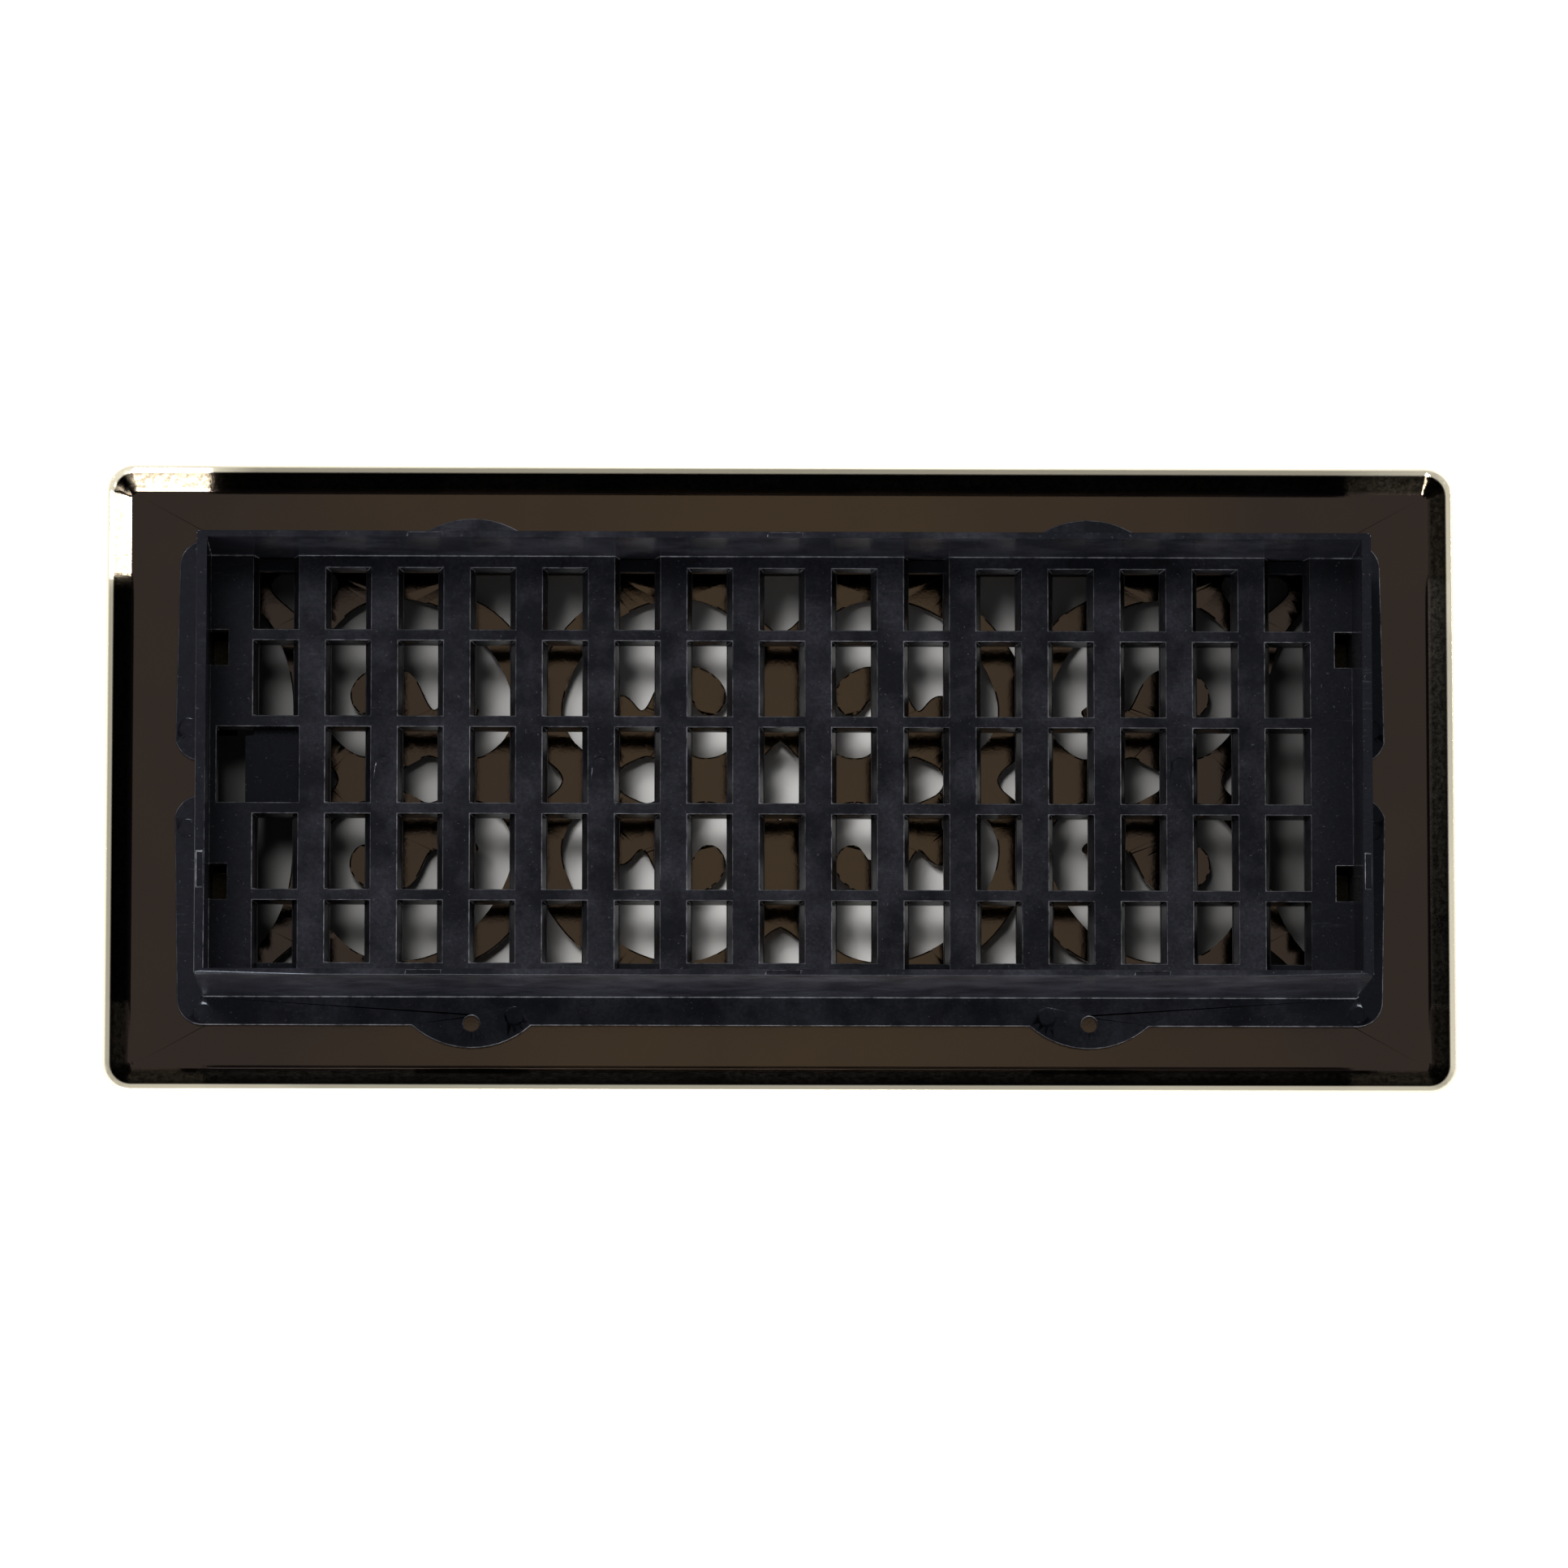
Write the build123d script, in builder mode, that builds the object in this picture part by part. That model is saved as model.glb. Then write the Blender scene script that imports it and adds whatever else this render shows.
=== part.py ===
"""Floor register, 4 x 10 in nominal, lying face down.

+Z runs from the decorative face towards the duct, the long side lies along X.
Pieces: pressed steel faceplate with pierced scrolls, moulded damper box with a
fixed grid of windows, a slide plate under the grid, its thumb lever, and four
steel retaining tabs that clamp the box to the plate.
"""

import math
import os

from build123d import *

# ---------------------------------------------------------------- dimensions, mm
LEVER_PROUD = 3.0  # thumb lever beyond the decorative face
Z_FRONT = LEVER_PROUD  # decorative face of the field
SHEET = 1.0
Z_BACK = Z_FRONT + SHEET  # back of the field, the box stands on it

# faceplate
PLATE_L = 292.1
PLATE_W = 136.3
RIM_RUN = 5.17  # horizontal run of the bevelled rim
RIM_RISE = 4.57
LIP_RISE = 0.73
LIP_WIDTH = 0.69
FIELD_SHIFT = 0.38  # front edge of the field lies this far outside the back edge
FIELD_RADIUS = 1.0
RIM_RADIUS = 6.0

# pierced pattern, repeated by mirror planes
CELL = 52.5
BORDER_Y = 44.8
END_X = 117.6
LEVER_SLOT_X = 122.2
LEVER_SLOT_Y = 9.5

# damper box
BOX_L = 249.7
BOX_W = 94.9
BOX_IN_L = 245.6
BOX_IN_W = 92.2
BOX_RADIUS = 0.6
FLANGE_L = 262.2
FLANGE_CORNER_X = 130.1  # the ends of the flange taper towards its corners
FLANGE_TOP = 51.9
FLANGE_BOTTOM = -53.6
FLANGE_T = 1.8
FLANGE_RADIUS = 5.5
Z_FLANGE = Z_BACK + FLANGE_T
RIM_HEIGHT = 44.5  # rim of the box above the flange
Z_RIM = Z_FLANGE + RIM_HEIGHT
LUG_X = 66.7
LUG_RADIUS = 19.3
LUG_TIPS = (-58.5, 56.9)
LUG_HOLE = 3.5
LUG_HOLE_IN = 5.3  # from the tip of the lug to its hole
NOTCH_OUT = 17.1
NOTCH_IN = 7.4

# fixed grid
Z_GRID = Z_FLANGE + 17.5  # duct side of the grid
GRID_T = 4.0
COLUMNS = 15
PITCH = 15.54
WINDOW_OUT = 9.7
WINDOW_IN = 7.7
BAR_Y = (9.4, 28.1)  # centres of the cross bars
BAR_W = 2.4
WINDOW_EDGE_Y = 42.7
PANEL_SHIFT = 0.8  # windows and slots sit this far towards +Y
LONG_COLUMNS = (0, 5, 9, 14)  # windows drawn out to the wall, hooks stand below them
LEVER_WINDOW = (-121.4, -103.7)
SIDE_DRAFT = 0.3

# marks left by the ejector pins and the rim's shallow steps
PIN_MARK = 2.1
MARK_DEPTH = 0.15
MARK_SPOTS = ((124.6, -51.2), (57.5, -51.6), (124.6, 49.4), (57.5, 49.7))
FLANGE_MARKS = [(sx * x, y) for sx in (-1, 1) for x, y in MARK_SPOTS]
END_MARKS = [(x, sy * 11.0) for x in (-128.2, 128.2) for sy in (-1, 1)]
GRID_MARKS = [PITCH * bar for bar in (-5.5, -2.5, 2.5, 5.5)]
RIM_MARKS = [(-76.4, 1), (0.2, 1), (78.0, -1), (-76.4, -1), (-0.2, -1)]
RIM_MARK_L = 7.6

# slide plate and lever
SLIDE_T = 2.0
SLIDE_GAP = 0.1
SLIDE_W = 91.9
SLIDE_LEFT = -113.6
SLIDE_RIGHT = 114.5
TONGUE_LEFT = -115.3
TONGUE_W = 15.0
SLIDE_WINDOW = 7.4
TRAVEL = 7.4  # towards -X, the middle of a bar then stands over each window
LEVER_X = -111.0
SOCKET = 1.2
HOOK_IN = 1.7
HOOK_T = 2.2

# retaining tabs
TAB_Y = 25.3
TAB_W = 6.6
TAB_T = 0.9
LEDGE_X = 119.4
LEDGE_W = 7.2
LEDGE_H = 4.2
SLOT_X = 119.0
SLOT_W = 7.6

Z_SLIDE_TOP = Z_GRID - GRID_T - SLIDE_GAP
Z_SLIDE = Z_SLIDE_TOP - SLIDE_T

# heights of the five window rows: (lower edge, upper edge)
ROW_EDGES = (
    (-WINDOW_EDGE_Y, -BAR_Y[1] - BAR_W / 2),
    (-BAR_Y[1] + BAR_W / 2, -BAR_Y[0] - BAR_W / 2),
    (-BAR_Y[0] + BAR_W / 2, BAR_Y[0] - BAR_W / 2),
    (BAR_Y[0] + BAR_W / 2, BAR_Y[1] - BAR_W / 2),
    (BAR_Y[1] + BAR_W / 2, WINDOW_EDGE_Y),
)
ROWS = [(low + PANEL_SHIFT, high + PANEL_SHIFT) for low, high in ROW_EDGES]
TABS = [(sx, sy * TAB_Y + PANEL_SHIFT) for sx in (-1, 1) for sy in (1, -1)]

os.makedirs("parts", exist_ok=True)

# ---------------------------------------------------------------- pierced scrolls
# One C-scroll opening, drawn from the mirror line at x = 0 of its cell.
SCROLL = [
    (5.3, 14.5), (6.9, 9.6), (10.2, 6.2), (14.2, 4.8), (16.8, 6.3), (17.5, 9.6),
    (16.2, 12.5), (13.6, 13.7), (12.8, 15.0), (14.3, 16.4), (17.1, 18.5), (20.0, 17.7),
    (22.6, 15.3), (24.1, 17.2), (26.2, 21.4), (31.0, 24.8), (37.5, 23.4), (40.7, 18.6),
    (38.4, 14.4), (35.3, 14.7), (33.1, 17.3), (31.0, 15.0), (31.0, 9.6), (33.3, 5.7),
    (37.6, 5.0), (43.6, 8.6), (47.8, 15.6), (48.4, 23.4), (44.2, 33.2), (36.0, 38.9),
    (27.2, 39.3), (17.2, 35.2), (10.2, 28.0), (6.3, 20.6),
]

with BuildSketch() as scrolls:
    with BuildLine():
        Spline(*SCROLL, periodic=True)
    make_face()
    # small star between the upper and the lower scroll
    with BuildLine():
        Spline((17.1, 0), (18.4, 2.7), (21.2, 4.2), (23.8, 5.0), (26.4, 3.9), (29.2, 2.3), (30.6, 0))
        Line((30.6, 0), (17.1, 0))
    make_face()
    # star on the mirror line between two cells
    with BuildLine():
        Spline((0, 7.2), (1.5, 4.3), (3.6, 2.6), (5.2, 0))
        Line((5.2, 0), (0, 0))
        Line((0, 0), (0, 7.2))
    make_face()
    # half star against the long border
    with BuildLine():
        Spline((0, 24.6), (2.3, 28.4), (6.0, 33.5), (12.5, 38.7), (16.6, 41.6), (16.2, BORDER_Y))
        Line((16.2, BORDER_Y), (0, BORDER_Y))
        Line((0, BORDER_Y), (0, 24.6))
    make_face()

with BuildSketch() as middle:
    # star and half star on the plate's own mirror line
    with BuildLine():
        Spline((0, 8.7), (2.1, 6.8), (4.2, 4.6), (8.0, 2.4), (9.1, 0))
        Line((9.1, 0), (0, 0))
        Line((0, 0), (0, 8.7))
    make_face()
    with BuildLine():
        Spline((0, 32.2), (2.2, 33.4), (5.2, 36.4), (8.6, 40.6), (8.4, BORDER_Y))
        Line((8.4, BORDER_Y), (0, BORDER_Y))
        Line((0, BORDER_Y), (0, 32.2))
    make_face()

with BuildSketch() as ends:
    # opening at each end, the lever moves in its outer slot
    with BuildLine():
        Spline(
            (95.9, 0), (97.2, 2.5), (101.0, 4.8), (104.6, 9.0), (105.6, 16.8),
            (106.6, 24.6), (110.2, 33.0), (END_X, 40.6),
        )
        Line((END_X, 40.6), (END_X, LEVER_SLOT_Y))
        Line((END_X, LEVER_SLOT_Y), (LEVER_SLOT_X, LEVER_SLOT_Y))
        Line((LEVER_SLOT_X, LEVER_SLOT_Y), (LEVER_SLOT_X, 0))
        Line((LEVER_SLOT_X, 0), (95.9, 0))
    make_face()
    # half star next to it
    with BuildLine():
        Spline((103.6, 33.6), (101.0, 35.2), (98.2, 38.4), (96.1, 41.6), (96.8, BORDER_Y))
        Line((96.8, BORDER_Y), (108.4, BORDER_Y))
        Spline((108.4, BORDER_Y), (110.4, 41.8), (107.6, 38.4), (103.6, 33.6))
    make_face()

with BuildSketch() as pattern:
    with Locations((CELL, 0)):
        add(scrolls.sketch)
    mirror(about=Plane.YZ.offset(CELL))
    add(middle.sketch)
    add(ends.sketch)
    mirror(about=Plane.YZ)
    mirror(about=Plane.XZ)

# ---------------------------------------------------------------- faceplate
FIELD_L = PLATE_L - 2 * (RIM_RUN + FIELD_SHIFT)
FIELD_W = PLATE_W - 2 * (RIM_RUN + FIELD_SHIFT)
Z_RIM_OUT = Z_FRONT + RIM_RISE
Z_LIP = Z_RIM_OUT + LIP_RISE

with BuildPart() as faceplate:
    # outside of the tray: field, bevel and the upright lip
    with BuildSketch(Plane.XY.offset(Z_FRONT)):
        RectangleRounded(FIELD_L + 2 * FIELD_SHIFT, FIELD_W + 2 * FIELD_SHIFT, FIELD_RADIUS)
    with BuildSketch(Plane.XY.offset(Z_RIM_OUT)):
        RectangleRounded(PLATE_L, PLATE_W, RIM_RADIUS)
    loft(ruled=True)
    with BuildSketch(Plane.XY.offset(Z_RIM_OUT)):
        RectangleRounded(PLATE_L, PLATE_W, RIM_RADIUS)
    extrude(amount=LIP_RISE)
    # inside of the tray
    with BuildSketch(Plane.XY.offset(Z_BACK)):
        RectangleRounded(FIELD_L, FIELD_W, FIELD_RADIUS)
    with BuildSketch(Plane.XY.offset(Z_LIP)):
        RectangleRounded(PLATE_L - 2 * LIP_WIDTH, PLATE_W - 2 * LIP_WIDTH, RIM_RADIUS - LIP_WIDTH)
    loft(ruled=True, mode=Mode.SUBTRACT)
    # scrolls, stars and end openings
    with BuildSketch(Plane.XY.offset(Z_FRONT)):
        add(pattern.sketch)
    extrude(amount=SHEET, mode=Mode.SUBTRACT)

# ---------------------------------------------------------------- damper box
with BuildSketch() as flange_outline:
    with BuildLine():
        Polyline(
            (FLANGE_L / 2, 0),
            (FLANGE_CORNER_X, FLANGE_TOP),
            (-FLANGE_CORNER_X, FLANGE_TOP),
            (-FLANGE_L / 2, 0),
            (-FLANGE_CORNER_X, FLANGE_BOTTOM),
            (FLANGE_CORNER_X, FLANGE_BOTTOM),
            (FLANGE_L / 2, 0),
        )
    make_face()
    fillet([corner for corner in flange_outline.vertices() if abs(corner.Y) > 20], FLANGE_RADIUS)
    with Locations(*[(sx * LUG_X, tip - math.copysign(LUG_RADIUS, tip)) for sx in (-1, 1) for tip in LUG_TIPS]):
        Circle(LUG_RADIUS)
    # rounded notch in the middle of each end
    for end in (-1, 1):
        with BuildLine():
            Polyline(
                (end * FLANGE_L / 2, -NOTCH_OUT / 2),
                (end * FLANGE_L / 2, NOTCH_OUT / 2),
            )
            Spline(
                (end * FLANGE_L / 2, NOTCH_OUT / 2),
                (end * (FLANGE_L / 2 - 2.0), NOTCH_IN / 2 + 1.5),
                (end * BOX_L / 2, NOTCH_IN / 2),
            )
            Polyline((end * BOX_L / 2, NOTCH_IN / 2), (end * BOX_L / 2, -NOTCH_IN / 2))
            Spline(
                (end * BOX_L / 2, -NOTCH_IN / 2),
                (end * (FLANGE_L / 2 - 2.0), -NOTCH_IN / 2 - 1.5),
                (end * FLANGE_L / 2, -NOTCH_OUT / 2),
            )
        make_face(mode=Mode.SUBTRACT)
    with Locations(*[(sx * LUG_X, tip - math.copysign(LUG_HOLE_IN, tip)) for sx in (-1, 1) for tip in LUG_TIPS]):
        Circle(LUG_HOLE / 2, mode=Mode.SUBTRACT)

# window cutters of the fixed grid, wider on the duct side
with BuildPart() as windows:
    for column in range(COLUMNS):
        centre = PITCH * (column - (COLUMNS - 1) / 2)
        for row, (low, high) in enumerate(ROWS):
            left = centre - WINDOW_OUT / 2
            right = centre + WINDOW_OUT / 2
            if column == 0 and row == 2:
                left, right = LEVER_WINDOW
            if column in LONG_COLUMNS and row == 0:
                low = -BOX_IN_W / 2
            if column in LONG_COLUMNS and row == 4:
                high = BOX_IN_W / 2
            narrow = (WINDOW_OUT - WINDOW_IN) / 2
            if column == 0 and row == 2:
                narrow = SIDE_DRAFT
            low_in = low if low == -BOX_IN_W / 2 else low + SIDE_DRAFT
            high_in = high if high == BOX_IN_W / 2 else high - SIDE_DRAFT
            with BuildSketch(Plane.XY.offset(Z_GRID)):
                with Locations(((left + right) / 2, (low + high) / 2)):
                    Rectangle(right - left, high - low)
            with BuildSketch(Plane.XY.offset(Z_GRID - GRID_T)):
                with Locations(((left + right) / 2, (low_in + high_in) / 2)):
                    Rectangle(right - left - 2 * narrow, high_in - low_in)
            loft(ruled=True)

with BuildPart() as damper_box:
    with BuildSketch(Plane.XY.offset(Z_BACK)):
        add(flange_outline.sketch)
    extrude(amount=FLANGE_T)
    with BuildSketch(Plane.XY.offset(Z_BACK)):
        RectangleRounded(BOX_L, BOX_W, BOX_RADIUS)
    extrude(amount=Z_RIM - Z_BACK)
    with BuildSketch(Plane.XY.offset(Z_BACK)):
        Rectangle(BOX_IN_L, BOX_IN_W)
    extrude(amount=Z_RIM - Z_BACK, mode=Mode.SUBTRACT)
    # fixed grid across the box
    with BuildSketch(Plane.XY.offset(Z_GRID - GRID_T)):
        Rectangle(BOX_IN_L + 0.6, BOX_IN_W + 0.6)
    extrude(amount=GRID_T)
    add(windows.part, mode=Mode.SUBTRACT)
    # core slots in the end panels, above the ledges of the retaining tabs
    with BuildSketch(Plane.XY.offset(Z_GRID - GRID_T)):
        with Locations(*[(sx * (SLOT_X + BOX_IN_L / 2) / 2, y) for sx, y in TABS]):
            Rectangle(BOX_IN_L / 2 - SLOT_X, SLOT_W)
    extrude(amount=GRID_T, mode=Mode.SUBTRACT)
    # ledges the tabs fold over, and the recess for the foot of each tab
    with BuildSketch(Plane.XY.offset(Z_BACK)):
        with Locations(*[(sx * (LEDGE_X + BOX_IN_L / 2 + 0.4) / 2, y) for sx, y in TABS]):
            Rectangle(BOX_IN_L / 2 + 0.4 - LEDGE_X, LEDGE_W)
    extrude(amount=LEDGE_H)
    with BuildSketch(Plane.XY.offset(Z_BACK)):
        with Locations(*[(sx * (LEDGE_X + FLANGE_L / 2 - 1.5) / 2, y) for sx, y in TABS]):
            Rectangle(FLANGE_L / 2 - 1.5 - LEDGE_X, TAB_W + 0.2)
    extrude(amount=TAB_T + 0.05, mode=Mode.SUBTRACT)
    # hooks on the long walls that carry the slide plate
    for column in LONG_COLUMNS:
        centre = PITCH * (column - (COLUMNS - 1) / 2)
        for side in (-1, 1):
            with BuildSketch(Plane.XY.offset(Z_SLIDE - SLIDE_GAP - HOOK_T)):
                with Locations((centre, side * (BOX_IN_W / 2 - HOOK_IN / 2 + 0.2))):
                    Rectangle(WINDOW_OUT, HOOK_IN + 0.4)
            extrude(amount=HOOK_T)

    # shallow discs of the ejector pins on the flange and on the grid
    with BuildSketch(Plane.XY.offset(Z_FLANGE)):
        with Locations(*(FLANGE_MARKS + END_MARKS)):
            Circle(PIN_MARK)
    extrude(amount=-MARK_DEPTH, mode=Mode.SUBTRACT)
    with BuildSketch(Plane.XY.offset(Z_GRID)):
        with Locations(*[(x, PANEL_SHIFT) for x in GRID_MARKS]):
            Circle(PIN_MARK - 0.2)
    extrude(amount=-MARK_DEPTH, mode=Mode.SUBTRACT)
    # short steps in the face of the rim
    with BuildSketch(Plane.XY.offset(Z_RIM)):
        with Locations(*[(x, side * (BOX_IN_W + BOX_W) / 4) for x, side in RIM_MARKS]):
            Rectangle(RIM_MARK_L, 0.9)
        with Locations(*[(end * (BOX_IN_L + BOX_L) / 4, -25.0) for end in (-1, 1)]):
            Rectangle(1.2, RIM_MARK_L)
    extrude(amount=-0.25, mode=Mode.SUBTRACT)

# ---------------------------------------------------------------- slide plate
with BuildPart() as slide_plate:
    with BuildSketch(Plane.XY.offset(Z_SLIDE)):
        with Locations(((SLIDE_LEFT + SLIDE_RIGHT) / 2, 0)):
            Rectangle(SLIDE_RIGHT - SLIDE_LEFT, SLIDE_W)
        with Locations(((TONGUE_LEFT + SLIDE_LEFT) / 2 + 1, 0)):
            Rectangle(SLIDE_LEFT - TONGUE_LEFT + 2, TONGUE_W)
        for column in range(COLUMNS):
            centre = PITCH * (column - (COLUMNS - 1) / 2)
            for row, (low, high) in enumerate(ROWS):
                if column == 0 and row == 2:
                    continue
                with Locations((centre, (low + high) / 2)):
                    Rectangle(SLIDE_WINDOW, high - low - 0.6, mode=Mode.SUBTRACT)
    extrude(amount=SLIDE_T)
    # blind socket for the lever, from below
    with BuildSketch(Plane.XY.offset(Z_SLIDE)):
        with Locations((LEVER_X, 0)):
            Rectangle(4.0, 6.0)
    extrude(amount=SOCKET, mode=Mode.SUBTRACT)

# ---------------------------------------------------------------- thumb lever
with BuildPart() as thumb_lever:
    # peg pressed into the socket of the slide plate
    with BuildSketch(Plane.XY.offset(Z_SLIDE)):
        with Locations((LEVER_X, 0)):
            Rectangle(4.0, 6.0)
    extrude(amount=SOCKET)
    # shoulder under the slide plate
    with BuildSketch(Plane.XY.offset(Z_SLIDE - 1.2)):
        with Locations((LEVER_X, 0)):
            RectangleRounded(6.6, 9.6, 0.8)
    extrude(amount=1.2)
    # blade through the end opening of the plate
    with BuildSketch(Plane.XY.offset(0)):
        with Locations((LEVER_X, 0)):
            RectangleRounded(3.6, 6.4, 0.9)
    with BuildSketch(Plane.XY.offset(Z_SLIDE - 1.2)):
        with Locations((LEVER_X, 0)):
            RectangleRounded(4.6, 8.0, 0.9)
    loft(ruled=True)

# ---------------------------------------------------------------- retaining tabs
LEG_X = LEDGE_X - TAB_T - 0.05
Z_FOLD = Z_BACK + LEDGE_H
FOOT_END = FLANGE_L / 2 - 2.0
FOLD_END = BOX_IN_L / 2 - 0.4


def tab_profile():
    """Foot on the plate, leg up the ledge and fold over it, in the XZ plane."""
    return [
        (LEG_X, Z_BACK),
        (FOOT_END, Z_BACK),
        (FOOT_END, Z_BACK + TAB_T),
        (LEG_X + TAB_T, Z_BACK + TAB_T),
        (LEG_X + TAB_T, Z_FOLD),
        (FOLD_END, Z_FOLD),
        (FOLD_END, Z_FOLD + TAB_T),
        (LEG_X, Z_FOLD + TAB_T),
        (LEG_X, Z_BACK),
    ]


tabs = []
for sx, y in TABS:
    with BuildPart() as tab:
        with BuildSketch(Plane.XZ.offset(-y)):
            with BuildLine():
                Polyline(*[(sx * x, z) for x, z in tab_profile()])
            make_face()
        extrude(amount=TAB_W / 2, both=True)
    tabs.append(tab.part)

# ---------------------------------------------------------------- export
faceplate.part.label = "faceplate"
damper_box.part.label = "damper_box"
slide_plate.part.label = "slide_plate"
thumb_lever.part.label = "thumb_lever"
export_step(faceplate.part, "parts/faceplate.step")
export_step(damper_box.part, "parts/damper_box.step")
export_step(slide_plate.part, "parts/slide_plate.step")
export_step(thumb_lever.part, "parts/thumb_lever.step")
for number, piece in enumerate(tabs, start=1):
    piece.label = f"retaining_tab_{number}"
    export_step(piece, f"parts/retaining_tab_{number}.step")
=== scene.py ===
"""Looks of the floor register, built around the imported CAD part. Metres, the CAD frame.

Each CAD piece is replaced by the same mesh with rounded edges and a material of
its own. The register lies face down on white paper and is seen from the duct side.
"""

import math

import bmesh
import bpy
from mathutils import Matrix, Vector


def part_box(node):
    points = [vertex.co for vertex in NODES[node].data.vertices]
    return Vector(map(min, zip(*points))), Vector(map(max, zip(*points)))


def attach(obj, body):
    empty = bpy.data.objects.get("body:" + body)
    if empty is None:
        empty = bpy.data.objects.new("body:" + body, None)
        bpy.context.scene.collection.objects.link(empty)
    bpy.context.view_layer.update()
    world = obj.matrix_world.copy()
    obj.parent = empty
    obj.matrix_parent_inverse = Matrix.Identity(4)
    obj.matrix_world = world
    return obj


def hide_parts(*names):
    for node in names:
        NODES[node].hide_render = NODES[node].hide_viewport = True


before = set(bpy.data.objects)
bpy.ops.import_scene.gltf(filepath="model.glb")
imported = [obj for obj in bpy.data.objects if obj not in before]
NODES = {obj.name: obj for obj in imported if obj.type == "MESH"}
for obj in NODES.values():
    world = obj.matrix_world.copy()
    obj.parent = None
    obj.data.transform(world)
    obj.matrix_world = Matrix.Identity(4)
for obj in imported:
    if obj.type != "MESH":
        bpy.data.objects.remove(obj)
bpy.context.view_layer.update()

# ------------------------------------------------------------------ sizes
MM = 0.001
WELD = 1e-6  # points closer than this are one point

# faceplate
PLATE_LOW, PLATE_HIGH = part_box("faceplate")
FIELD_BACK = 0.004
FIELD_MIDDLE = 0.0035  # between the two faces of the field
FIELD_TOP = PLATE_LOW[2] + 1.6 * MM  # the bends of the field lie below this
RIM_FOOT = PLATE_LOW[2] + 3.0 * MM  # the edges of the lip lie above this
RIM_RADIUS = 0.006
RIM_NEAR = 0.08 * MM  # how far from the outline a point of it may lie
LIP_NEAR = 0.05 * MM  # how far below the top a point of the lip may lie
LIP_SLOPE = 0.45 * MM  # the top of the lip leans in by this

# heights between which the colour changes, from the field up to the lip; the darker bevel and its darker top
# are painted shade
BEND_ZONE = (0.0042, 0.0049)
SHADE_ZONE = (0.0064, 0.0074)
LIP_ZONE = (0.0074, 0.0077)

# rounded edges
FOLD_ANGLE = 18  # degrees, the least turn at an edge of the faceplate
SHARP_ANGLE = 40  # the same at the moulded parts and the tabs
LEVER_ANGLE = 60
LEAST_FACE = 0.12 * MM  # triangles thinner than twice this get no radius
CREASE = 32  # degrees, flatter edges are shaded smooth
WORN_AND_HIGHLIGHT = "worn_and_highlight"  # face attribute: rounded edges made pale, partly rubbed and partly painted highlight
BURR = "burr"  # face attribute: rounded edges of the piercings, painted dark as shade

# paper
PAPER_HALF = 6.0
PAPER_Z = -0.0003
GLOW_HALF = (0.1435, 0.0655)  # the paper glows outside this rectangle
GLOW_FADE = 0.001


# ------------------------------------------------------------------ node helpers
def new_material(name):
    material = bpy.data.materials.new(name)
    material.use_nodes = True
    tree = material.node_tree
    tree.nodes.clear()
    out = tree.nodes.new("ShaderNodeOutputMaterial")
    shader = tree.nodes.new("ShaderNodeBsdfPrincipled")
    tree.links.new(shader.outputs[0], out.inputs[0])
    return material, tree, shader


def plug(tree, socket, value):
    """Links an output to the socket, or sets a constant on it."""
    if hasattr(value, "is_output"):
        tree.links.new(value, socket)
    else:
        socket.default_value = value


def add_node(tree, kind, inputs=None, **settings):
    node = tree.nodes.new(kind)
    for key, value in settings.items():
        setattr(node, key, value)
    for key, value in (inputs or {}).items():
        plug(tree, node.inputs[key], value)
    return node


def object_coords(tree, scale=(1, 1, 1)):
    coords = add_node(tree, "ShaderNodeTexCoord")
    mapping = add_node(tree, "ShaderNodeMapping", {"Vector": coords.outputs["Object"], "Scale": scale})
    return mapping.outputs[0]


def position(tree):
    """(x, y, z) sockets of the point in metres, in the shared frame."""
    split = add_node(tree, "ShaderNodeSeparateXYZ", {"Vector": object_coords(tree)})
    return split.outputs[0], split.outputs[1], split.outputs[2]


def noise(tree, scale, detail, rough, stretch=(1, 1, 1)):
    """Noise of about scale lumps a metre, from 0 to 1; a stretch below 1 draws them out."""
    node = add_node(
        tree, "ShaderNodeTexNoise",
        {"Vector": object_coords(tree, stretch), "Scale": scale, "Detail": detail, "Roughness": rough},
    )
    return node.outputs["Fac"]


def ramp(tree, value, low, high, to_low=0.0, to_high=1.0):
    """to_low where the value is low or less, to_high where it is high or more."""
    node = add_node(
        tree, "ShaderNodeMapRange",
        {"Value": value, "From Min": low, "From Max": high, "To Min": to_low, "To Max": to_high},
    )
    return node.outputs[0]


def mix(tree, fac, a, b):
    """Colour a turns into b as fac goes from 0 to 1; sockets 6 and 7 are the colours."""
    return add_node(tree, "ShaderNodeMix", {0: fac, 6: a, 7: b}, data_type="RGBA").outputs[2]


def maths(tree, operation, a, b=0.0, clamp=False):
    return add_node(tree, "ShaderNodeMath", {0: a, 1: b}, operation=operation, use_clamp=clamp).outputs[0]


def attribute(tree, name):
    """1 on the faces that round_edges marked in full, 0 on the rest."""
    return add_node(tree, "ShaderNodeAttribute", attribute_name=name).outputs["Fac"]


def add_bumps(tree, shader, fine, coarse):
    """Two layers of bump, each given as (height, strength, distance)."""
    normal = None
    for height, strength, distance in (fine, coarse):
        inputs = {"Strength": strength, "Distance": distance, "Height": height}
        if normal:
            inputs["Normal"] = normal
        normal = add_node(tree, "ShaderNodeBump", inputs).outputs[0]
    tree.links.new(normal, shader.inputs["Normal"])


def darker(colour, factor):
    return tuple(value * factor for value in colour[:3]) + (1,)


# ------------------------------------------------------------------ materials
PALE_SCUFF = (0.060, 0.062, 0.070, 1)
# pale colour of the rounded edges: partly rubbed, partly painted highlight
RUBBED_AND_HIGHLIT_PLASTIC = (0.260, 0.265, 0.290, 1)
BLOOM_FADE = (0.104, 0.118)  # |x| over which the bloom fades, past the last windows: painted shade of the end walls
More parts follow.
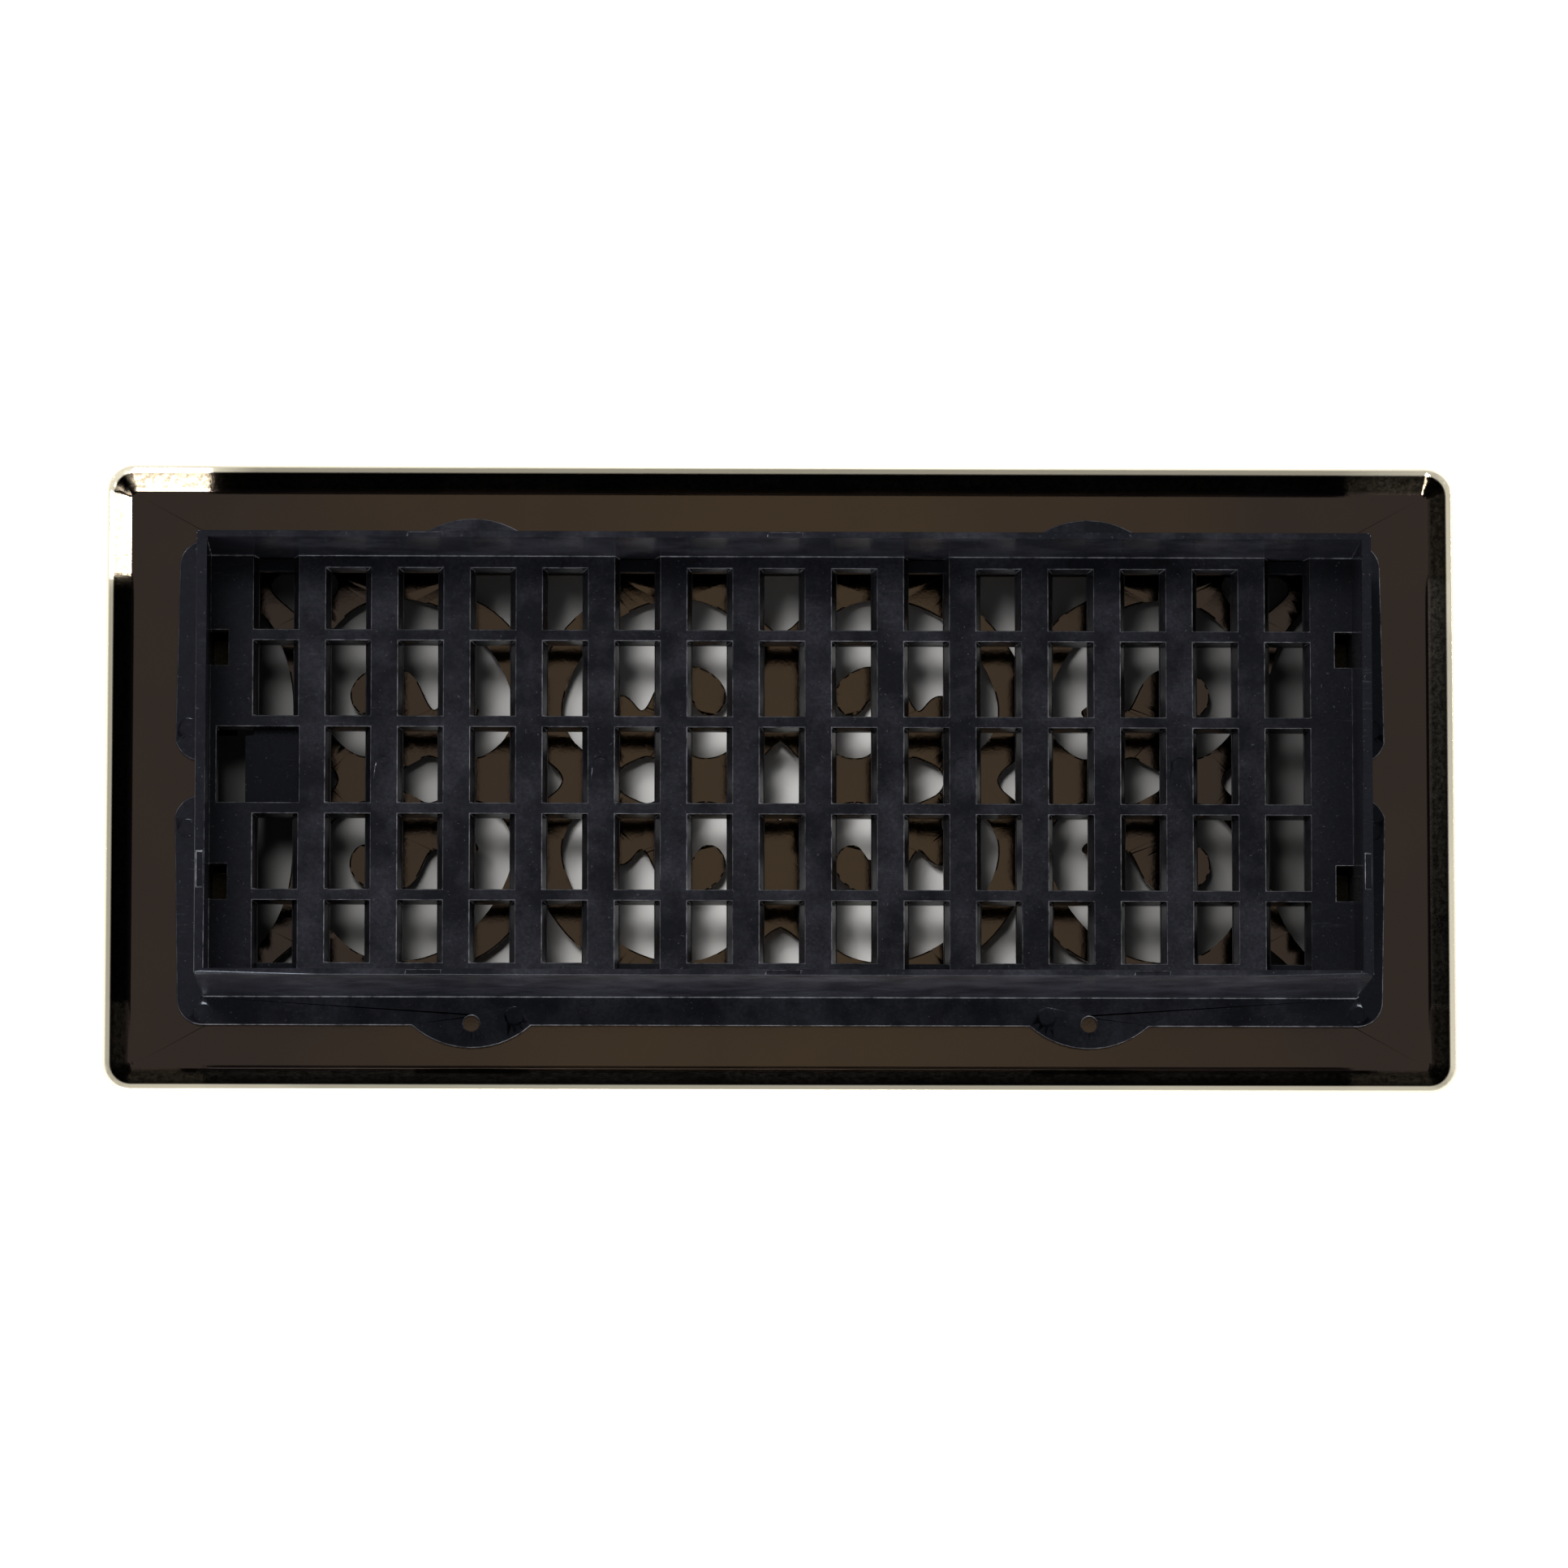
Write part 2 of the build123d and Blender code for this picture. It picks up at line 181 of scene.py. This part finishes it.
# painted shade on the rounded piercing edges, the dark of the box they face
PIERCED_EDGE_SHADE = (0.030, 0.024, 0.018, 1)
PAPER_TINTS = ((0.88, 0.88, 0.88, 1), (0.91, 0.91, 0.905, 1))
# colour of the painted shade on the paper
PAPER_SHADE = (0.02, 0.02, 0.02, 1)


def plastic_colour(tree, base, bloom, wear_and_painted_light):
    """Smoky bloom that fades out near the end walls as painted shade, fine dark grain, scuffs and dust, each
    laid over the last.
    """
    x = position(tree)[0]
    # painted shade: the bloom dies away close to the end walls
    end_wall_shade = ramp(tree, maths(tree, "ABSOLUTE", x), *BLOOM_FADE, 1.0, 0.12)
    smoke = ramp(tree, noise(tree, 75, 5, 0.62), 0.40, 0.66)
    smoke = maths(tree, "MULTIPLY", smoke, end_wall_shade)
    colour = mix(tree, maths(tree, "MULTIPLY", smoke, wear_and_painted_light), base, bloom)
    fine = ramp(tree, noise(tree, 1300, 3, 0.7), 0.30, 0.70, 0.0, 0.55)
    colour = mix(tree, maths(tree, "MULTIPLY", fine, wear_and_painted_light), colour, darker(base, 0.45))
    streak = ramp(tree, noise(tree, 900, 3, 0.65, (0.12, 1, 0.12)), 0.60, 0.80)
    patch = ramp(tree, noise(tree, 38, 3, 0.6), 0.45, 0.7)
    scuff = maths(tree, "MULTIPLY", streak, patch)
    colour = mix(tree, maths(tree, "MULTIPLY", scuff, 0.45 * wear_and_painted_light), colour, PALE_SCUFF)
    dust = ramp(tree, noise(tree, 1700, 2, 0.5), 0.69, 0.75)
    return mix(tree, maths(tree, "MULTIPLY", dust, 0.7 * wear_and_painted_light), colour, PALE_SCUFF)


def rubbed_and_highlit_edges(tree):
    """Pale rounded edges: patchy rubbing, with painted highlight that is strongest on the edges that face +X
    and -Y, towards the lights.
    """
    rubbed = ramp(tree, noise(tree, 300, 4, 0.7), 0.38, 0.62, 0.12, 1.0)
    facing = add_node(tree, "ShaderNodeNewGeometry").outputs["True Normal"]
    # painted highlight: edges that face the lights at +X and -Y get more
    highlight_side = add_node(
        tree, "ShaderNodeVectorMath", {0: facing, 1: (0.75, -0.45, 0.0)}, operation="DOT_PRODUCT"
    )
    highlight_side = maths(tree, "ADD", highlight_side.outputs["Value"], 0.42, clamp=True)
    edge = maths(tree, "MULTIPLY", attribute(tree, WORN_AND_HIGHLIGHT), rubbed, clamp=True)
    return maths(tree, "MULTIPLY", edge, highlight_side)


def black_plastic(name, base, bloom, wear_and_painted_light):
    """Moulded black polypropylene: glossy skin, smoky bloom that fades out near the end walls as painted
    shade, fine dust, rubbed edges that are partly painted highlight.
    """
    material, tree, shader = new_material(name)
    colour = plastic_colour(tree, base, bloom, wear_and_painted_light)
    edge = maths(tree, "MULTIPLY", rubbed_and_highlit_edges(tree), wear_and_painted_light, clamp=True)
    # rounded edges turn pale: partly rubbed, partly painted highlight
    tree.links.new(mix(tree, edge, colour, RUBBED_AND_HIGHLIT_PLASTIC), shader.inputs["Base Color"])
    rough = ramp(tree, noise(tree, 160, 4, 0.6), 0.3, 0.7, 0.17, 0.27)
    tree.links.new(rough, shader.inputs["Roughness"])
    shader.inputs["Specular IOR Level"].default_value = 0.25
    shader.inputs["Specular Tint"].default_value = (0.80, 0.88, 1.0, 1)
    grain = noise(tree, 2300, 2, 0.6)
    add_bumps(tree, shader, fine=(grain, 0.10, 0.0001), coarse=(noise(tree, 120, 2, 0.5), 0.12, 0.0004))
    return material


def add_bevel(tree, shader, colour, bevel, rim):
    """Mottled bevel, darker than the field and darker again near the lip, as painted shade; a pale lip,
    partly bare metal and partly painted reflection of the paper; pierced edges painted dark as shade.
    """
    z = position(tree)[2]
    mottle = ramp(tree, noise(tree, 850, 4, 0.75), 0.40, 0.60)
    # painted shade: the bevel takes a darker copy of the plating's colour
    slope = mix(tree, mottle, darker(bevel, 0.30), bevel)
    # painted shade darkening the upper part of the bevel
    slope = mix(tree, ramp(tree, z, *SHADE_ZONE, 0.0, 0.75), slope, darker(bevel, 0.2))
    colour = mix(tree, ramp(tree, z, *BEND_ZONE), colour, slope)
    # pale lip: partly bare metal at the edge, partly painted reflection of the white paper
    colour = mix(tree, ramp(tree, z, *LIP_ZONE), colour, rim)
    tree.links.new(ramp(tree, z, *LIP_ZONE, 1.0, 0.3), shader.inputs["Metallic"])
    # rounded piercing edges painted dark as shade
    return mix(tree, attribute(tree, BURR), colour, PIERCED_EDGE_SHADE)


def plated_metal(name, dark, warm, rough, rim, bevel=None):
    """Plated sheet steel: dark mirror with a satin grain, warmer and brighter in the middle and darker
    towards the ends as painted reflection and shade.
    """
    material, tree, shader = new_material(name)
    x = position(tree)[0]
    # painted reflection and shade: warm and bright in the middle, dark towards the ends
    middle = ramp(tree, maths(tree, "ABSOLUTE", x), 0.03, 0.125, 1.0, 0.0)
    cloud = ramp(tree, noise(tree, 26, 4, 0.55), 0.35, 0.68, -0.18, 0.18)
    colour = mix(tree, maths(tree, "ADD", middle, cloud, clamp=True), dark, warm)
    spots = ramp(tree, noise(tree, 420, 5, 0.7), 0.66, 0.78)
    colour = mix(tree, maths(tree, "MULTIPLY", spots, 0.3), colour, darker(dark, 0.6))
    shader.inputs["Metallic"].default_value = 1.0
    if bevel:
        colour = add_bevel(tree, shader, colour, bevel, rim)
    # rounded edges take the rim colour: partly rubbed, partly painted highlight
    tree.links.new(mix(tree, attribute(tree, WORN_AND_HIGHLIGHT), colour, rim), shader.inputs["Base Color"])
    grain = noise(tree, 1500, 3, 0.7)
    tree.links.new(ramp(tree, grain, 0.3, 0.7, *rough), shader.inputs["Roughness"])
    add_bumps(tree, shader, fine=(grain, 0.12, 0.00014), coarse=(noise(tree, 150, 3, 0.6), 0.05, 0.0003))
    return material


def paper():
    """Paper darkened by painted shade of the register, most towards the plate's ends, that glows white
    outside its outline.
    """
    material, tree, shader = new_material("paper")
    x, y = position(tree)[:2]
    from_middle = maths(tree, "ABSOLUTE", x)
    tint = mix(tree, noise(tree, 3, 2, 0.5), *PAPER_TINTS)
    # painted shade of the register on the paper, deepening towards its ends
    tint = mix(tree, ramp(tree, from_middle, 0.02, 0.112, 0.12, 0.90), tint, PAPER_SHADE)
    tree.links.new(tint, shader.inputs["Base Color"])
    past_end = maths(tree, "SUBTRACT", from_middle, GLOW_HALF[0])
    past_side = maths(tree, "SUBTRACT", maths(tree, "ABSOLUTE", y), GLOW_HALF[1])
    beside = maths(tree, "MAXIMUM", past_end, past_side)
    shader.inputs["Emission Color"].default_value = (1, 1, 1, 1)
    tree.links.new(ramp(tree, beside, 0.0, GLOW_FADE, 0.0, 1.1), shader.inputs["Emission Strength"])
    shader.inputs["Roughness"].default_value = 0.9
    shader.inputs["Specular IOR Level"].default_value = 0.1
    return material


def set_material(obj, material):
    obj.data.materials.clear()
    obj.data.materials.append(material)


# ------------------------------------------------------------------ piece helpers
def cleaned(name):
    """The CAD node's mesh with its faces joined up again."""
    mesh = bmesh.new()
    mesh.from_mesh(NODES[name].data)
    bmesh.ops.remove_doubles(mesh, verts=mesh.verts, dist=WELD)
    mesh.normal_update()
    return mesh


def folds(edge, least_angle):
    """True where two faces meet at least_angle degrees or more."""
    return len(edge.link_faces) == 2 and edge.calc_face_angle(0.0) >= math.radians(least_angle)


def half_height(face, edge):
    """Half the height of a triangle over one of its edges."""
    return face.calc_area() / max(edge.calc_length(), 1e-9)


def sharp_edges(mesh, least_angle):
    """Edges that fold by least_angle or more, between faces that have room for a radius."""
    found = []
    for edge in mesh.edges:
        if folds(edge, least_angle) and min(half_height(face, edge) for face in edge.link_faces) > LEAST_FACE:
            found.append(edge)
    return found


def still_there(edges):
    """The edges that the last bevel left in place."""
    return [edge for edge in edges if edge.is_valid]


def round_edges(mesh, edges, radius, segments, wear_and_painted_light, mark=WORN_AND_HIGHLIGHT):
    """Rounds the edges and gives the new faces the given amount of rubbing and painted light in the marked
    attribute.
    """
    if not mesh.faces.layers.float.get(mark):
        mesh.faces.layers.float.new(mark)
    made = bmesh.ops.bevel(
        mesh, geom=edges, offset=radius, offset_type="OFFSET", segments=segments, profile=0.5,
        affect="EDGES", clamp_overlap=False, loop_slide=True, material=-1,
    )
    layer = mesh.faces.layers.float.get(mark)
    for face in made["faces"]:
        face[layer] = wear_and_painted_light


def finish_piece(mesh, node, body, material):
    """Turns the bmesh into a shown piece that stands for the CAD node."""
    data = bpy.data.meshes.new(node + "_finished")
    mesh.to_mesh(data)
    mesh.free()
    data.shade_smooth()
    data.set_sharp_from_angle(angle=math.radians(CREASE))
    piece = bpy.data.objects.new(node + "_finished", data)
    bpy.context.collection.objects.link(piece)
    normals = piece.modifiers.new("normals", "WEIGHTED_NORMAL")
    normals.keep_sharp = True
    set_material(piece, material)
    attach(piece, body)
    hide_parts(node)


def make_piece(node, body, material, radius, segments=2, wear_and_painted_light=1.0, least_angle=SHARP_ANGLE):
    """A piece whose sharp edges get one small radius."""
    mesh = cleaned(node)
    round_edges(mesh, sharp_edges(mesh, least_angle), radius, segments, wear_and_painted_light)
    finish_piece(mesh, node, body, material)


# ------------------------------------------------------------------ faceplate
def rim_normal(point):
    """Outward direction at a point on the plate's outline, or None elsewhere."""
    over = Vector((abs(point.x) - PLATE_HIGH[0] + RIM_RADIUS, abs(point.y) - PLATE_HIGH[1] + RIM_RADIUS, 0))
    if over.x > 0 and over.y > 0:
        reach = over.length
        direction = over.normalized()
    elif over.x > over.y:
        reach = over.x
        direction = Vector((1, 0, 0))
    else:
        reach = over.y
        direction = Vector((0, 1, 0))
    if abs(reach - RIM_RADIUS) > RIM_NEAR:
        return None
    return Vector((math.copysign(direction.x, point.x), math.copysign(direction.y, point.y), 0))


def plate_edges(plate):
    """Three lists of edges: the bends of the field, the lip and the piercings."""
    bends = []
    lip = []
    pierced = []
    for edge in plate.edges:
        if not folds(edge, FOLD_ANGLE):
            continue
        steep, flat = sorted(abs(face.normal.z) for face in edge.link_faces)
        ends = [corner.co.z for corner in edge.verts]
        height = sum(ends) / 2
        if steep > 0.4 and height < FIELD_TOP:
            bends.append(edge)
        elif steep < 0.05 and height > RIM_FOOT:
            if abs(ends[0] - ends[1]) < WELD:
                lip.append(edge)
        elif steep < 0.05 and flat > 0.99:
            pierced.append(edge)
    return bends, lip, pierced


def make_plate(material):
    """Soft press bends, piercing edges painted dark as shade, rolled lip."""
    plate = cleaned("faceplate")
    bends, lip, pierced = plate_edges(plate)
    for corner in plate.verts:
        outward = rim_normal(corner.co)
        if outward and corner.co.z > PLATE_HIGH[2] - LIP_NEAR:
            corner.co -= outward * LIP_SLOPE
    back_edges = [edge for edge in pierced if edge.verts[0].co.z > FIELD_MIDDLE]
    round_edges(plate, back_edges, 0.32 * MM, 3, 1.0, BURR)
    front_edges = [edge for edge in still_there(pierced) if edge.verts[0].co.z < FIELD_MIDDLE]
    round_edges(plate, front_edges, 0.10 * MM, 2, 1.0, BURR)
    round_edges(plate, still_there(bends), 0.5 * MM, 4, 0.0)
    round_edges(plate, still_there(lip), 0.10 * MM, 2, 0.9)
    finish_piece(plate, "faceplate", "register", material)


# ------------------------------------------------------------------ the pieces
# the bevel colour is a darker copy of the plating as painted shade; the pale rim colour is partly bare metal
# and partly painted reflection
make_plate(
    plated_metal(
        "plated_steel", dark=(0.195, 0.142, 0.112, 1), warm=(0.31, 0.205, 0.120, 1), rough=(0.07, 0.12),
        rim=(0.80, 0.74, 0.58, 1), bevel=(0.110, 0.090, 0.064, 1),
    )
)

box_plastic = black_plastic(
    "box_plastic", base=(0.0085, 0.0088, 0.0118, 1), bloom=(0.0300, 0.0305, 0.0390, 1), wear_and_painted_light=1.0
)
make_piece("damper_box", "register", box_plastic, 0.17 * MM)

# painted shade: the slide's plastic is darker than the box's because it lies deeper
slide_plastic = black_plastic(
    "slide_plastic", base=(0.0050, 0.0052, 0.0068, 1), bloom=(0.0090, 0.0092, 0.0120, 1), wear_and_painted_light=0.6
)
make_piece("slide_plate", "damper", slide_plastic, 0.12 * MM, wear_and_painted_light=0.35)

lever_metal = plated_metal(
    "lever_coat", dark=(0.16, 0.12, 0.09, 1), warm=(0.22, 0.16, 0.11, 1), rough=(0.28, 0.42),
    rim=(0.40, 0.30, 0.20, 1),
)
make_piece(
    "thumb_lever", "damper", lever_metal, 0.25 * MM, segments=3, least_angle=LEVER_ANGLE
)

# painted shade: the tabs' plating is near black because they sit deep in their slots; their golden edges are
# partly rubbed and partly painted glint
tab_metal = plated_metal(
    "tab_steel", dark=(0.045, 0.034, 0.020, 1), warm=(0.075, 0.056, 0.032, 1), rough=(0.22, 0.36),
    rim=(0.42, 0.32, 0.16, 1),
)
for number in range(1, 5):
    make_piece(f"retaining_tab_{number}", "register", tab_metal, 0.12 * MM)


# ------------------------------------------------------------------ floor
def make_floor():
    mesh = bpy.data.meshes.new("floor")
    corners = [(sx * PAPER_HALF, sy * PAPER_HALF, 0) for sx, sy in ((-1, -1), (1, -1), (1, 1), (-1, 1))]
    mesh.from_pydata(corners, [], [(0, 1, 2, 3)])
    floor = bpy.data.objects.new("floor", mesh)
    bpy.context.collection.objects.link(floor)
    set_material(floor, paper())
    floor.location.z = PAPER_Z


make_floor()


# ------------------------------------------------------------------ lights
CENTRE = Vector((0, 0, 0.01))
WORLD_COLOUR = (0.95, 0.97, 1.0, 1)
WORLD_STRENGTH = 0.16


def area_light(name, place, size, power, colour=(1, 1, 1)):
    """A rectangular light that points at the middle of the register."""
    data = bpy.data.lights.new(name, "AREA")
    data.shape = "RECTANGLE"
    data.size, data.size_y = size
    data.energy = power
    data.color = colour
    light = bpy.data.objects.new(name, data)
    bpy.context.collection.objects.link(light)
    light.location = place
    aim = CENTRE - Vector(place)
    light.rotation_euler = aim.to_track_quat("-Z", "Y").to_euler()
    return light


world = bpy.data.worlds.new("studio")
bpy.context.scene.world = world
world.use_nodes = True
background = world.node_tree.nodes["Background"]
background.inputs["Color"].default_value = WORLD_COLOUR
background.inputs["Strength"].default_value = WORLD_STRENGTH

# the key lights the paper through the windows without reflections of its own, the rest give those
key = area_light("key", (-0.36, 0.45, 1.6), (0.44, 0.44), 20, (1.0, 0.985, 0.96))
key.visible_glossy = False
area_light("kicker", (-1.15, 1.0, 1.35), (0.30, 0.30), 9, (1.0, 0.98, 0.94))
area_light("side_right", (1.9, 0.53, 0.40), (0.43, 0.40), 26)
area_light("front_left", (-0.54, -2.0, 0.62), (1.32, 0.55), 60)

# ------------------------------------------------------------------ camera
SENSOR = 36.0  # millimetres
VIEW_DISTANCE = 2.15
FRAME_WIDTH = 0.3397  # what the view takes in at that distance
AIM_AT = Vector((0.00079, -0.00079, FIELD_BACK))
LEAN_LEFT = 1.1  # degrees off the vertical, towards -X
LEAN_DOWN = 7.2  # towards -Y
FAR_LIMIT = 20.0

camera_data = bpy.data.cameras.new("camera")
camera_data.sensor_width = SENSOR
camera_data.lens = SENSOR * VIEW_DISTANCE / FRAME_WIDTH
camera_data.clip_end = FAR_LIMIT
camera = bpy.data.objects.new("camera", camera_data)
bpy.context.collection.objects.link(camera)
towards = Vector((-math.tan(math.radians(LEAN_LEFT)), -math.tan(math.radians(LEAN_DOWN)), 1.0)).normalized()
side = Vector((0, 1, 0)).cross(towards).normalized()
camera.location = AIM_AT + towards * VIEW_DISTANCE
camera.rotation_euler = Matrix((side, towards.cross(side), towards)).transposed().to_euler()
bpy.context.scene.camera = camera

bpy.context.scene.view_settings.view_transform = "Standard"
